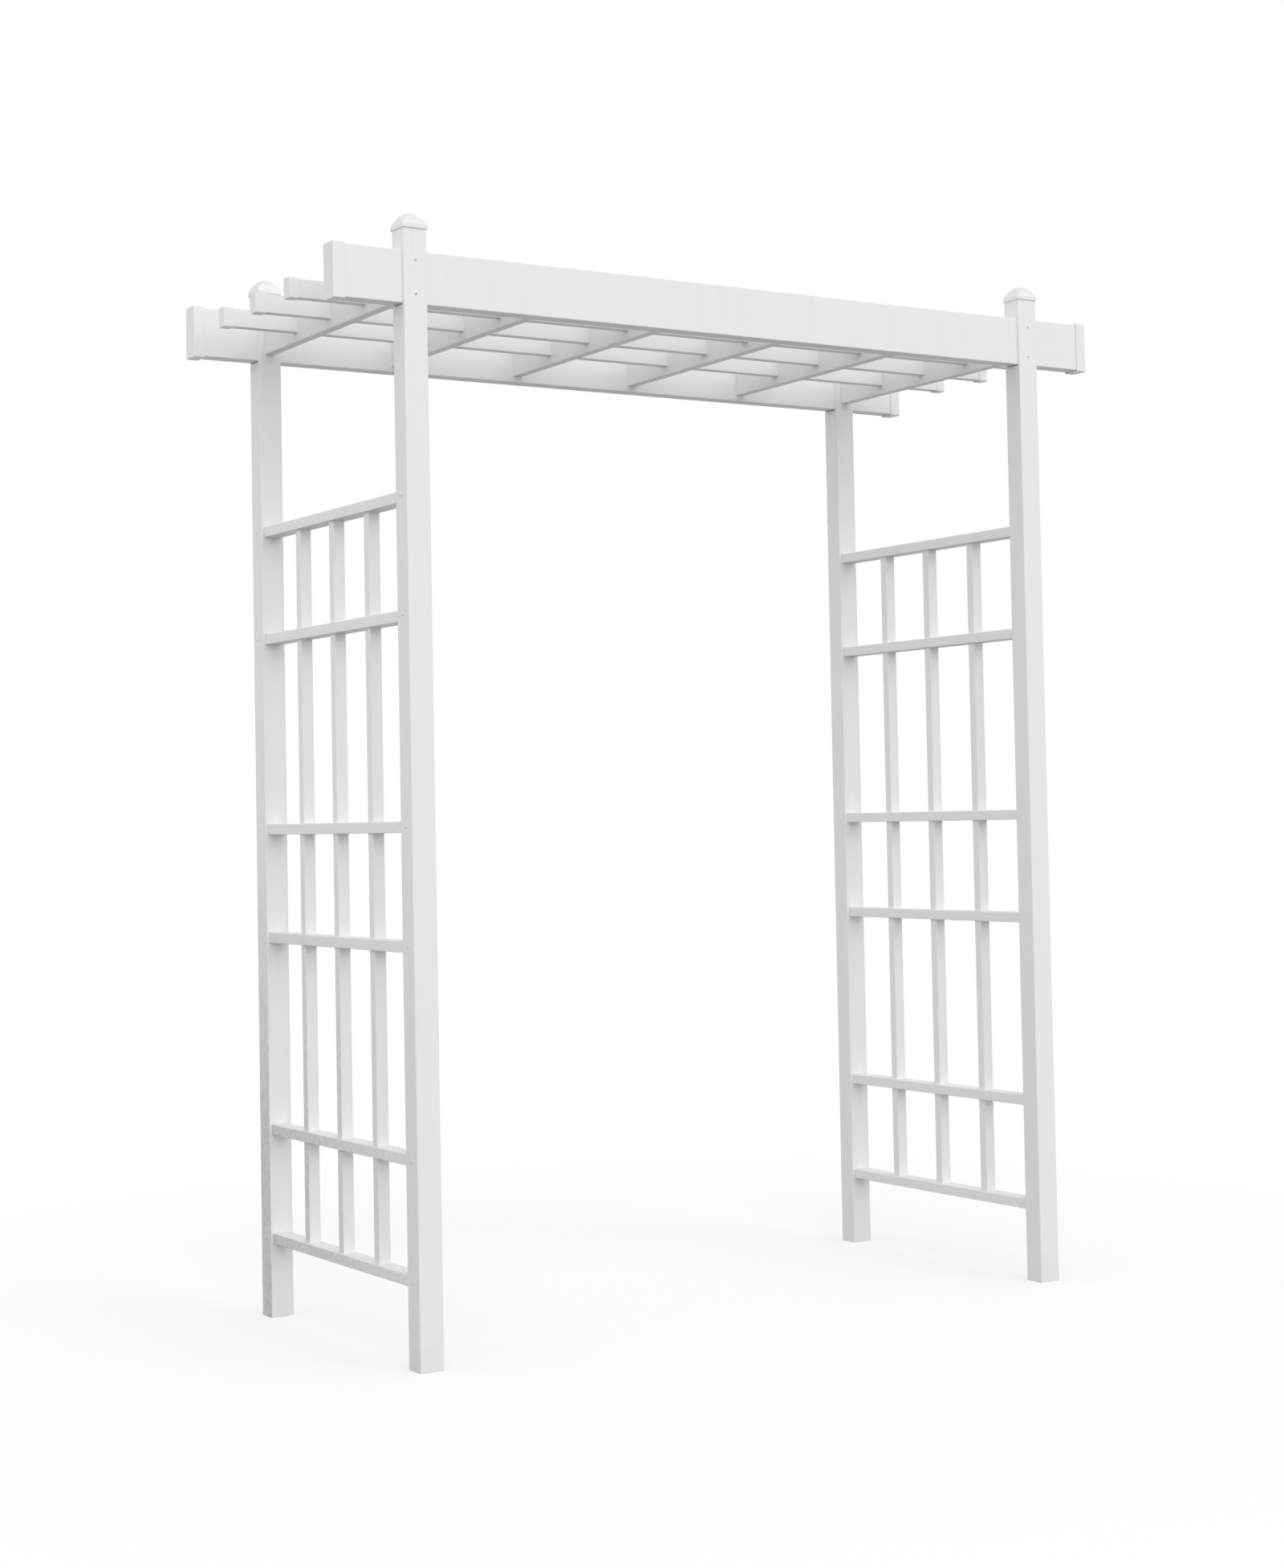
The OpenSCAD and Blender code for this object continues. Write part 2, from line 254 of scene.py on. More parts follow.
# %% The group that copies something along nested rows
ROW_SIZES = {"First": "Vector", "Step A": "Vector", "Count A": "Int", "Step B": "Vector", "Count B": "Int",
             "Step C": "Vector", "Count C": "Int", "Turn": "Vector", "Spin": "Float", "Seed": "Int"}
tree, given = geometry_tree("rows", ROW_SIZES)
count_a, count_b, count_c = (given.out("Count " + letter) for letter in "ABC")
index = tree.node("GeometryNodeInputIndex")
line = tree.node("GeometryNodeMeshLine", inputs={"Count": count_a * count_b * count_c, "Offset": (0, 0, 0)})
row_b = tree.whole(index, count_a)
row_c = tree.whole(row_b, count_b)
place = (given.out("First") + given.out("Step A") * (index - row_b * count_a)
         + given.out("Step B") * (row_b - row_c * count_b) + given.out("Step C") * row_c)
points = tree.node("GeometryNodeSetPosition", inputs={"Geometry": line, "Position": place})
chance = tree.node("FunctionNodeRandomValue", {"data_type": "FLOAT"}, {
    "ID": index, "Seed": given.out("Seed")}, 1)
spin = tree.join(0, 0, chance * given.out("Spin"))
turned = tree.node("FunctionNodeRotateRotation", {"rotation_space": "LOCAL"},
                   {"Rotation": given.out("Turn"), "Rotate By": spin})
copies = tree.node("GeometryNodeInstanceOnPoints", inputs={
    "Points": points, "Instance": given.out("Geometry"), "Rotation": turned})
ROWS = finish_tree(tree, tree.node("GeometryNodeRealizeInstances", inputs={"Geometry": copies}))


def rows_in(tree, given, geometry):
    """The rows group as a node of another tree, fed from that tree's own inputs."""
    links = {name: given.out(name) for name in ROW_SIZES}
    return tree.node("GeometryNodeGroup", {"node_tree": ROWS}, {"Geometry": geometry, **links})


# %% The tree that routs rows of holes, and the tree that sets rows of screws
tree, given = geometry_tree("rout", {"Bit": "Object", **ROW_SIZES})
bit = tree.node("GeometryNodeObjectInfo", inputs={"Object": given.out("Bit")}).out("Geometry")
cut = tree.node("GeometryNodeMeshBoolean", {"operation": "DIFFERENCE", "solver": "MANIFOLD"},
                {"Mesh 1": given.out("Geometry"), "Mesh 2": rows_in(tree, given, bit)})
ROUT = finish_tree(tree, cut)
tree, given = geometry_tree("set_rows", {"Paint": "Material", "Spared": "Material", **ROW_SIZES})
spared = tree.node("GeometryNodeMaterialSelection", inputs={"Material": given.out("Spared")})
painted = tree.node("FunctionNodeBooleanMath", {"operation": "NOT"}, {0: spared})
set_out = rows_in(tree, given, given.out("Geometry"))
SET_ROWS = finish_tree(tree, tree.node("GeometryNodeSetMaterial", inputs={
    "Geometry": set_out, "Selection": painted, "Material": given.out("Paint")}))

# %% [markdown]
# Crisp faces and soft corners
#
# A section's faces are dead flat and only its corners are round. Smooth shading alone would
# spread the corner's turn over the whole face, so edges past a limit are marked sharp, and
# Blender's Weighted Normal modifier lets each large face decide the normals at its rim.

# %% The tree that marks sharp edges
tree, given = geometry_tree("edges", {"Limit": "Float"})
smooth = tree.node("GeometryNodeSetShadeSmooth", {"domain": "FACE"}, {
    "Geometry": given.out("Geometry"), "Shade Smooth": True})
is_sharp = tree.node("FunctionNodeCompare", {"operation": "GREATER_THAN"}, {
    "A": tree.node("GeometryNodeInputMeshEdgeAngle"), "B": given.out("Limit")})
EDGES = finish_tree(tree, tree.node("GeometryNodeSetShadeSmooth", {"domain": "EDGE"}, {
    "Geometry": smooth, "Selection": is_sharp, "Shade Smooth": False}))

# %% [markdown]
# What white vinyl looks like
#
# The sections are extruded, so the die leaves very fine lines along them and the gloss varies a
# little from place to place. Outdoors they gather dust on what faces up, and rain draws it down the
# sides in faint streaks. The left sides turn a mottled grey, low down and to the rear, as in the
# photograph, and the undersides are darkened a little with painted shade. Each of these is a mask
# of about 0 to 1, and the finish is a sum of such masks, so each one can be turned up or down by
# itself. An image of dirty plastic would repeat along two metres of post, and noise in Object
# coordinates doesn't. In the values below a size is in features per metre, and a cover is a mask's
# largest share.

# %% Helpers for finishes
def new_finish(name):
    material = bpy.data.materials.new(name)
    material.use_nodes = True
    material.node_tree.nodes.clear()
    tree = Tree(material.node_tree)
    return material, tree, tree.node("ShaderNodeTexCoord").out("Object")


def noise(tree, where, scale, detail=2.0, rough=0.5):
    """Noise of about 0 to 1 at a place, in features per metre."""
    return tree.node("ShaderNodeTexNoise", {"noise_dimensions": "3D"}, {
        "Vector": where, "Scale": scale, "Detail": detail, "Roughness": rough})


def ramp(tree, value, low, high, start=0.0, end=1.0):
    """Runs smoothly from start to end while the value goes from low to high."""
    return tree.node("ShaderNodeMapRange", {"interpolation_type": "SMOOTHSTEP"}, {
        "Value": value, "From Min": low, "From Max": high, "To Min": start, "To Max": end})


def blend_colours(tree, share, first, second):
    return tree.node("ShaderNodeMix", {"data_type": "RGBA"}, {0: share, 6: first, 7: second}, 2)


def surface(tree, colour, roughness, bump_height, depth, **constants):
    """A plastic or enamel surface whose relief is depth metres high."""
    relief = tree.node("ShaderNodeBump", inputs={"Height": bump_height, "Distance": depth, "Strength": 1.0})
    shader = tree.node("ShaderNodeBsdfPrincipled", inputs={
        "Base Color": colour, "Roughness": roughness, "Normal": relief, **constants})
    tree.node("ShaderNodeOutputMaterial", inputs={"Surface": shader})


# %% Colours, sizes and covers of the weathering, and of the painted shade on undersides
clean_white = (0.86, 0.86, 0.86, 1)
dust_grey = (0.56, 0.555, 0.54, 1)
# The grey of the low left faces and of the soil splash, which also paints shade on the undersides.
darkening_and_shade_grey = (0.38, 0.38, 0.37, 1)
cloud_size, mottle_size, speck_size = 7.0, 75.0, 420.0
streak_size = (55.0, 55.0, 1.7)
# The under cover is the largest share of painted shade on the undersides.
speck_cover, run_cover, underside_shade_cover, soil_cover = 0.35, 0.16, 0.25, 0.04
# How grey the mottle on the low left faces gets, from its lightest to its darkest spots.
left_grey_from, left_grey_to = 0.34, 0.62
dust_strength, specks_in_dust = 0.5, 0.12
splash_height, splash_unevenness = 0.10, 0.12
# Heights in metres between which the left faces' grey fades out, and how uneven that edge is.
left_grey_low, left_grey_high, left_grey_unevenness = 0.3, 1.2, 0.5
dust_on_sections, dust_on_caps = 0.4, 0.85

# %% Where each mask starts and ends
# A face is told by how far its normal points along an axis: 1 is all the way up or right, and -1
# down or left. The two halves of the arch are in metres from its middle. Each row says where its
# mask starts and ends, and then the mask's values there if they aren't 0 and 1.
faces_up, off_upright = (0.1, 0.8), (0.2, 0.6)
faces_down, faces_left = (-0.95, -0.6, 1.0, 0.0), (-0.9, -0.4, 1.0, 0.0)
left_half, rear_half = (-0.4, 0.2, 1.0, 0.0), (-0.5, 0.4, 0.25, 1.0)
uneven_dust, uneven_runs = (0.25, 0.75, 0.6, 1.2), (0.35, 0.7, 0.25, 1.0)
streak_limits, speck_limits, mottle_limits = (0.52, 0.80), (0.70, 0.78), (0.3, 0.7)


# %% Weathering, and painted shade on undersides, that every finish shares
def settled_dust(tree, cloud, speck, face_up, where, settled):
    """Dust on top, as thick as settled says, and the faint runs that rain draws down from it."""
    top_dust = ramp(tree, face_up, *faces_up) * ramp(tree, cloud, *uneven_dust) * settled
    streak = noise(tree, where * streak_size, 1.0, detail=3.0, rough=0.6)
    upright = 1 - ramp(tree, tree.math("ABSOLUTE", face_up), *off_upright)
    run = upright * ramp(tree, streak, *streak_limits, end=run_cover) * ramp(tree, cloud, *uneven_runs)
    return tree.math("MINIMUM", top_dust + run + speck * specks_in_dust, 1.0)


def grey_darkening_and_shade(tree, cloud, mottle, speck, face_right, face_up, where):
    """Mottled grey on the left faces low down and to the rear, painted shade on undersides, and grey just
    above the soil.
    """
    x, y, z = tree.split(where)
    on_left = ramp(tree, face_right, *faces_left) * ramp(tree, x, *left_half)
    to_rear = ramp(tree, y, *rear_half)
    low_down = ramp(tree, z + (cloud - 0.5) * left_grey_unevenness, left_grey_low, left_grey_high, 1.0, 0.0)
    # Undersides are painted darker as shade: the more a face looks down, the greyer it is.
    under = ramp(tree, face_up, *faces_down)
    near_soil = ramp(tree, z + (mottle - 0.5) * splash_unevenness, 0.0, splash_height, 1.0, 0.0)
    # Left faces of the left half are greyer low down and to the rear, in a mottle.
    left_low_grey = on_left * to_rear * low_down * ramp(tree, mottle, *mottle_limits, left_grey_from, left_grey_to)
    return tree.math("MINIMUM", left_low_grey + under * underside_shade_cover + near_soil * (soil_cover + speck), 1.0)


def weather(tree, where, settled=dust_on_sections):
    """The colour of weathered white with painted shade on undersides, how dirty and shaded it is from 0 to 1,
    and the cloudy noise behind it.
    """
    normal = tree.split(tree.node("ShaderNodeNewGeometry").out("Normal"))
    face_right, face_up = normal[0], normal[2]
    cloud = noise(tree, where, cloud_size, detail=4.0, rough=0.6)
    mottle = noise(tree, where, mottle_size, detail=4.0, rough=0.7)
    speck = ramp(tree, noise(tree, where, speck_size, detail=1.0), *speck_limits, end=speck_cover)
    dust = settled_dust(tree, cloud, speck, face_up, where, settled)
    darkening_and_shade = grey_darkening_and_shade(tree, cloud, mottle, speck, face_right, face_up, where)
    dusty = blend_colours(tree, dust * dust_strength, clean_white, dust_grey)
    # The second value counts the painted underside shade along with the dirt; it only makes the surface
    # rougher.
    return blend_colours(tree, darkening_and_shade, dusty, darkening_and_shade_grey), tree.math("MINIMUM", dust + darkening_and_shade, 1.0), cloud


# %% Extruded vinyl, one finish for each direction that a section runs in
vinyl_gloss = {"IOR": 1.53, "Specular IOR Level": 0.4}
skin_relief, line_share, grain_share = 0.06 * mm, 0.8, 0.2
along_line, across_line, grain_size = 1.5, 650.0, 900.0
skin_rough, rough_from_cloud, rough_from_lines, rough_from_dirt_and_shade = 0.38, 0.12, 0.06, 0.2


def extruded_vinyl(name, stretch):
    material, tree, where = new_finish(name)
    colour, dirt_and_shade, cloud = weather(tree, where)
    die_lines = noise(tree, where * stretch, 1.0, rough=0.6)
    grain = noise(tree, where, grain_size)
    roughness = (skin_rough + cloud * rough_from_cloud + die_lines * rough_from_lines
                 + dirt_and_shade * rough_from_dirt_and_shade)
    relief = die_lines * line_share + grain * grain_share
    surface(tree, colour, roughness, relief, skin_relief, **vinyl_gloss)
    return material


SKIN = {
    "X": extruded_vinyl("vinyl drawn along X", (along_line, across_line, across_line)),
    "Y": extruded_vinyl("vinyl drawn along Y", (across_line, along_line, across_line)),
    "Z": extruded_vinyl("vinyl drawn along Z", (across_line, across_line, along_line)),
}

# %% [markdown]
# Cut ends, mouldings and screws
#
# The same vinyl looks different where a tool has been. A saw or a router leaves a duller face with
# fine marks. A cap is moulded, so it is smoother and glossier, with a faint orange peel and shallow
# sinks where the plastic shrank, and its round top holds more dust. The screws are painted steel,
# chalky with age, and the recess where the driver went in is painted near black, grime together
# with painted shade. Each is a finish of its own, made of the same few masks, because one finish
# for all would make the arch look like one casting.

# %% Sawn vinyl, at cut ends and in routed holes
saw_stretch = (900.0, 260.0, 1400.0)
saw_relief = 0.08 * mm
least_dulling, dulling_from_cloud = 0.04, 0.08
sawn_rough, rough_from_marks = 0.5, 0.15
sawn_vinyl, tree, where = new_finish("sawn vinyl")
colour, _, cloud = weather(tree, where)
saw_marks = noise(tree, where * saw_stretch, 1.0)
dulled = blend_colours(tree, least_dulling + cloud * dulling_from_cloud, colour, dust_grey)
surface(tree, dulled, sawn_rough + saw_marks * rough_from_marks, saw_marks, saw_relief, **vinyl_gloss)

# %% Moulded vinyl, on every cap
mould_relief, peel_share, sink_share = 0.10 * mm, 0.35, 0.65
peel_size, sink_size = 260.0, 34.0
moulded_rough, moulded_rough_from_cloud = 0.30, 0.10
moulded_vinyl, tree, where = new_finish("moulded vinyl")
colour, dirt_and_shade, cloud = weather(tree, where, dust_on_caps)
orange_peel = noise(tree, where, peel_size, detail=1.5)
sink = noise(tree, where, sink_size, detail=1.0)
roughness = moulded_rough + cloud * moulded_rough_from_cloud + dirt_and_shade * rough_from_dirt_and_shade
relief = orange_peel * peel_share + sink * sink_share
surface(tree, colour, roughness, relief, mould_relief, **vinyl_gloss)

# %% Baked enamel on the screws, and grime with painted shade, dull, inside the recess
fresh_enamel = (0.84, 0.84, 0.835, 1)
chalky_enamel = (0.66, 0.66, 0.65, 1)
worn_enamel = (0.45, 0.45, 0.44, 1)
# The recess is painted near black: grime, together with painted shade for the shade that falls in it.
deep_grime_and_shade, light_grime_and_shade = (0.04, 0.04, 0.038, 1), (0.12, 0.118, 0.112, 1)
enamel_gloss = {"IOR": 1.5, "Specular IOR Level": 0.5}
enamel_relief = 0.04 * mm
chalk_size, wear_size, recess_noise_size = 900.0, 1500.0, 1200.0
chalk_cover, wear_cover, wear_limits = 0.25, 0.4, (0.62, 0.72)
enamel_rough, recess_rough, rough_from_age = 0.26, 0.6, 0.2
screw_enamel, tree, where = new_finish("screw enamel")
chalk = noise(tree, where, chalk_size, detail=3.0, rough=0.6)
wear = ramp(tree, noise(tree, where, wear_size), *wear_limits)
enamel = blend_colours(tree, chalk * chalk_cover, fresh_enamel, chalky_enamel)
enamel = blend_colours(tree, wear * wear_cover, enamel, worn_enamel)
surface(tree, enamel, enamel_rough + chalk * rough_from_age, chalk, enamel_relief, **enamel_gloss)
screw_recess, tree, where = new_finish("screw recess")
# A noise between the two near-black greys of grime and painted shade in the recess.
recess_grime_and_shade = noise(tree, where, recess_noise_size)
grimy_and_shaded = blend_colours(tree, recess_grime_and_shade, deep_grime_and_shade, light_grime_and_shade)
surface(tree, grimy_and_shaded, recess_rough + recess_grime_and_shade * rough_from_age, recess_grime_and_shade, enamel_relief)
finishes = [*SKIN.values(), sawn_vinyl, moulded_vinyl, screw_enamel, screw_recess]
print(len(finishes), "finishes; the largest has", max(len(m.node_tree.nodes) for m in finishes), "nodes")

# %% [markdown]
# From an outline to a plain mesh
#
# Each helper below only writes an outline in real sizes, hands it to the loft, and stacks the
# other trees after it. The result is read back as a plain mesh, because the frame wants pieces
# with no live node trees, each at the origin with its place in its vertices.

# %% Outlines of rings: let in by, corner radius, height
broken_edge = 0.3 * mm


def ring(inset, corner, height):
    return (inset, max(corner - inset, broken_edge), height)


def tube_outline(length, wall, corner, bevel=broken_edge):
    """Up the outside of a hollow section and down the inside, with broken edges at its two ends."""
    half = length / 2
    outside = [ring(bevel, corner, -half), ring(0, corner, bevel - half),
               ring(0, corner, half - bevel), ring(bevel, corner, half)]
    inside = [ring(wall - bevel, corner, half), ring(wall, corner, half - bevel),
              ring(wall, corner, bevel - half), ring(wall - bevel, corner, -half)]
    return outside + inside + outside[:1]


def bit_outline(depth, corner, narrow, flare=0.2 * mm, over=1 * mm):
    """A router bit that passes a wall of this depth and breaks the hole's edge on both faces."""
    half = depth / 2
    reach = half + over
    wide = [(-flare, corner + flare, reach), (-flare, corner + flare, half)]
    slim = [(0, corner, half - flare)]
    low = [(inset, radius, -height) for inset, radius, height in wide + slim]
    return [(narrow / 2, 0, -reach)] + low + slim + wide[::-1] + [(narrow / 2, 0, reach)]


# %% From an outline to a piece, and from a piece to a plain mesh
def lofted(name, outline, width, height, corner_steps=4):
    mesh = bpy.data.meshes.new(name)
    mesh.from_pydata(outline, [], [])
    piece = bpy.data.objects.new(name, mesh)
    bpy.context.collection.objects.link(piece)
    use_tree(piece, LOFT, Width=width, Height=height, Corner_Steps=corner_steps)
    return piece


def made_plain(piece):
    """Reads the modifiers' result back as the piece's own mesh, and takes the modifiers off."""
    ready = piece.evaluated_get(bpy.context.evaluated_depsgraph_get())
    mesh = bpy.data.meshes.new_from_object(ready, preserve_all_data_layers=True,
                                           depsgraph=bpy.context.evaluated_depsgraph_get())
    piece.modifiers.clear()
    piece.data = mesh
    mesh.name = piece.name
    return piece


def volume(piece):
    shape = bmesh.new()
    shape.from_mesh(piece.data)
    litres = shape.calc_volume(signed=True) * 1000
    open_edges = sum(not edge.is_manifold for edge in shape.edges)
    shape.free()
    return litres, open_edges


# %% Shading, and handing a finished piece to the frame
sharp_past = math.radians(35)
finished = []


def finish_piece(piece, node):
    use_tree(piece, EDGES, Limit=sharp_past)
    weigh = piece.modifiers.new("weigh faces", "WEIGHTED_NORMAL")
    weigh.keep_sharp = True
    made_plain(piece)
    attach(piece, "root")
    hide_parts(node)
    finished.append(piece)
    litres, open_edges = volume(piece)
    assert litres > 0 and open_edges == 0, f"{piece.name}: {litres:.4f} litres, {open_edges} open edges"
    return piece


# %% [markdown]
# Router bits
#
# Each hole in a vinyl section is routed a little larger than what goes through it, and the edge
# of the cut is scraped. So each bit is a short bar of the section that it lets through, with the
# factory's clearance round it and a small flare where it leaves each face of the wall.

# %% Where a section lies, from its node's box
TURN = {"X": (right_angle, 0, right_angle), "Y": (right_angle, 0, 0), "Z": (0, 0, 0)}
SIDES = {"X": (1, 2, 0), "Y": (0, 2, 1), "Z": (0, 1, 2)}


def centre(node):
    low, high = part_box(node)
    return (low + high) / 2


def size_along(node, direction):
    """Width, height and length of a node whose section is drawn out in this direction."""
    low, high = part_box(node)
    return [(high - low)[axis] for axis in SIDES[direction]]


# %% Sizes of the sections that their outer boxes don't tell
wall_of = {"post": 2.5 * mm, "beam": 2.4 * mm, "joist": 2 * mm, "slat": 2 * mm, "rail": 2 * mm,
           "baluster": 1.8 * mm}
corner_of = {"post": 2.5 * mm, "beam": 2.5 * mm, "joist": 1.5 * mm, "slat": 1.5 * mm, "rail": 1.5 * mm,
             "baluster": 1.5 * mm}
routed_fit = 0.15 * mm
beam_drop = 1.4 * mm
screw_hole = 4.2 * mm

# %% Bits, each kept for the next hole of the same kind and depth
bits = {}


def kept_bit(kind, width, height, corner, depth, corner_steps=4):
    key = f"bit {kind} {depth / mm:.1f}"
    if key not in bits:
        bit = lofted(key, bit_outline(depth, corner, min(width, height)), width, height, corner_steps)
        use_tree(bit, LAY, Skin=sawn_vinyl, Cut=sawn_vinyl)
        bits[key] = made_plain(bit)
    return bits[key]


def router_bit(kind, node, direction, depth, below=routed_fit):
    """A bit for the section that runs in this direction, with so much room left below the section."""
    width, height = size_along(node, direction)[:2]
    corner = corner_of[kind] + routed_fit
    return kept_bit(kind, width + 2 * routed_fit, height + routed_fit + below, corner, depth)


def drill(depth):
    return kept_bit("screw", screw_hole, screw_hole, screw_hole / 2, depth, corner_steps=5)


# %% [markdown]
# Hollow sections
#
# Posts, beams, joists, slats, rails and balusters are all cut from extruded tube, and then the
# router opens them for what they carry. One function draws the tube in its node's box, and each
# kind of section adds its own rows of holes. The rows start at a neighbour's centre, which the
# frame gives, so every hole lies where its neighbour passes.

# %% One section in its node's box
def section(node, kind, direction):
    width, height, length = size_along(node, direction)
    outline = tube_outline(length, wall_of[kind], corner_of[kind])
    piece = lofted("finished_" + node, outline, width, height, corner_steps=5)
    use_tree(piece, LAY, Turn=TURN[direction], Place=centre(node), Skin=SKIN[direction], Cut=sawn_vinyl,
             Cut_Ends=True)
    return piece


def rout(piece, bit, direction, first, step_a=(0, 0, 0), count_a=1, step_b=(0, 0, 0), count_b=1):
    """Routs rows of holes with a bit whose depth lies along the direction."""
    use_tree(piece, ROUT, Bit=bit, Turn=TURN[direction], First=first, Step_A=step_a, Count_A=count_a,
             Step_B=step_b, Count_B=count_b, Count_C=1)


# %% Places in the frame that the rows of holes share
def how_many(kind):
    """How many nodes have a name of this kind with only a number after it."""
    return sum(name.startswith(kind) and name[len(kind):].isdigit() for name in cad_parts)


joist_count, slat_count = how_many("joist_"), how_many("slat_")
rail_count, baluster_count = how_many("rail_left_"), how_many("baluster_left_")
joist_step = centre("joist_2") - centre("joist_1")
slat_step = centre("slat_2") - centre("slat_1")
baluster_step = centre("baluster_left_2") - centre("baluster_left_1")
rail_gap = centre("rail_left_2") - centre("rail_left_1")
pair_step = centre("rail_left_3") - centre("rail_left_1")
post_step = centre("post_right_front") - centre("post_left_front")
depth_step = centre("post_left_rear") - centre("post_left_front")
screw_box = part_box("beam_screws_front")
head_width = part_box("rail_screws_left")[1].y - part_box("rail_screws_left")[0].y - depth_step.y
beam_screw_low = screw_box[0].z + head_width / 2
beam_screw_step = Vector((0, 0, screw_box[1].z - screw_box[0].z - head_width))
print("roof:", joist_count, "joists and", slat_count, "slats")
print("each side:", rail_count, "rails and", baluster_count, "balusters")

# %% Posts: a slot for the beam, mortises for the joist and the rails, and screw holes
post_width = size_along("post_left_front", "Z")[0]
post_wall = wall_of["post"]
rails_in_pair = 2
pair_count = rail_count // rails_in_pair
rail_rows = {"step_a": rail_gap, "count_a": rails_in_pair, "step_b": pair_step, "count_b": pair_count}


def routed_post(side, face):
    node = f"post_{side}_{face}"
    post = section(node, "post", "Z")
    middle = centre(node)
    to_wall = (post_width - post_wall) / 2
    inner_y = middle.y + (-to_wall if face == "rear" else to_wall)
    outer_y = 2 * middle.y - inner_y
    outer_x = middle.x + (-to_wall if side == "left" else to_wall)
    slot_z = centre(f"beam_{face}").z + (routed_fit - beam_drop) / 2
    rail_z = centre(f"rail_{side}_1").z
    beam_bit = router_bit("beam", f"beam_{face}", "X", post_width, beam_drop)
    rout(post, beam_bit, "X", (middle.x, middle.y, slot_z))
    joist_bit = router_bit("joist", "joist_1", "Y", post_wall)
    rout(post, joist_bit, "Y", (middle.x, inner_y, centre("joist_1").z))
    rail_bit = router_bit("rail", f"rail_{side}_1", "Y", post_wall)
    rout(post, rail_bit, "Y", (middle.x, inner_y, rail_z), **rail_rows)
    rout(post, drill(post_wall), "X", (outer_x, middle.y, rail_z), **rail_rows)
    rout(post, drill(post_wall), "Y", (middle.x, outer_y, beam_screw_low), step_a=beam_screw_step, count_a=2)
    finish_piece(post, node)


for side in ("left", "right"):
    for face in ("front", "rear"):
        routed_post(side, face)
print("posts:", [(p.name, len(p.data.polygons)) for p in finished])

# %% [markdown]
# Beams, joists and slats
#
# The beams take the joists in their inner walls only, so their outer faces stay clean. The slats
# pass right through every joist, which is what keeps the joists upright on the real arch.

# %% Beams, with a mortise for each joist in the inner wall
for face in ("front", "rear"):
    node = f"beam_{face}"
    beam = section(node, "beam", "X")
    middle = centre(node)
    beam_wall = wall_of["beam"]
    to_wall = (size_along(node, "X")[0] - beam_wall) / 2
    inner_y = middle.y + (-to_wall if face == "rear" else to_wall)
    outer_y = 2 * middle.y - inner_y
    mortise = router_bit("joist", "joist_1", "Y", beam_wall)
    rout(beam, mortise, "Y", (centre("joist_1").x, inner_y, middle.z), step_a=joist_step, count_a=joist_count)
    rout(beam, drill(beam_wall), "Y", (-post_step.x / 2, outer_y, beam_screw_low),
         step_a=beam_screw_step, count_a=2, step_b=post_step, count_b=2)
    finish_piece(beam, node)

# %% Joists, with a hole right through for each slat, and the slats themselves
for number in range(1, joist_count + 1):
    node = f"joist_{number}"
    joist = section(node, "joist", "Y")
    through = router_bit("slat", "slat_1", "X", size_along(node, "Y")[0])
    rout(joist, through, "X", (centre(node).x, centre("slat_1").y, centre("slat_1").z),
         step_a=slat_step, count_a=slat_count)
    finish_piece(joist, node)
for number in range(1, slat_count + 1):
    finish_piece(section(f"slat_{number}", "slat", "X"), f"slat_{number}")

# %% [markdown]
# Side trellis
#
# Six rails cross each side, and three balusters are threaded down through them. The lowest rail
# is open only on top, so it carries the balusters, and the highest is open only below, so it
# hides their ends. The four rails between are open right through.

# %% Rails and balusters
rail_wall = wall_of["rail"]


def routed_rail(side, number):
    node = f"rail_{side}_{number}"
    rail = section(node, "rail", "Y")
    middle = centre(node)
    width, height = size_along(node, "Y")[:2]
    first = Vector((middle.x, centre(f"baluster_{side}_1").y, middle.z))
    opened = height
    if number in (1, rail_count):
        opened = rail_wall
        first.z += (height - opened) / 2 * (1 if number == 1 else -1)
    rout(rail, router_bit("baluster", f"baluster_{side}_1", "Z", opened), "Z", first,
         step_a=baluster_step, count_a=baluster_count)
    outer_x = middle.x + (-1 if side == "left" else 1) * (width - rail_wall) / 2
    rout(rail, drill(rail_wall), "X", (outer_x, -depth_step.y / 2, middle.z), step_a=depth_step, count_a=2)
    finish_piece(rail, node)


for side in ("left", "right"):
    for number in range(1, rail_count + 1):
        routed_rail(side, number)
    for number in range(1, baluster_count + 1):
        node = f"baluster_{side}_{number}"
        finish_piece(section(node, "baluster", "Z"), node)
print(len(finished), "pieces so far")

# %% [markdown]
# Moulded caps
#
# A cap is a thin cup, and it is drawn as one line: from the inner apex down to the mouth, round
# the lip and up the outside. A moulding never has a dead sharp edge, because the tool is cut with
# a round cutter, so the lip and the outer corners are quarter circles.

# %% End caps of the beams and slats
end_plate, end_corner = 2.6 * mm, 3 * mm
end_lip, end_edge = 0.9 * mm, 1.4 * mm
beam_cap_wall, slat_cap_wall = 2.8 * mm, 2 * mm


def quarter_turn(middle_inset, middle_height, radius, start, steps=3):
    """Insets and heights along a quarter circle: 0 degrees points inwards and 90 points up."""
    turns = [math.radians(start - 90 * k / steps) for k in range(steps + 1)]
    return [(middle_inset + radius * math.cos(t), middle_height + radius * math.sin(t)) for t in turns]


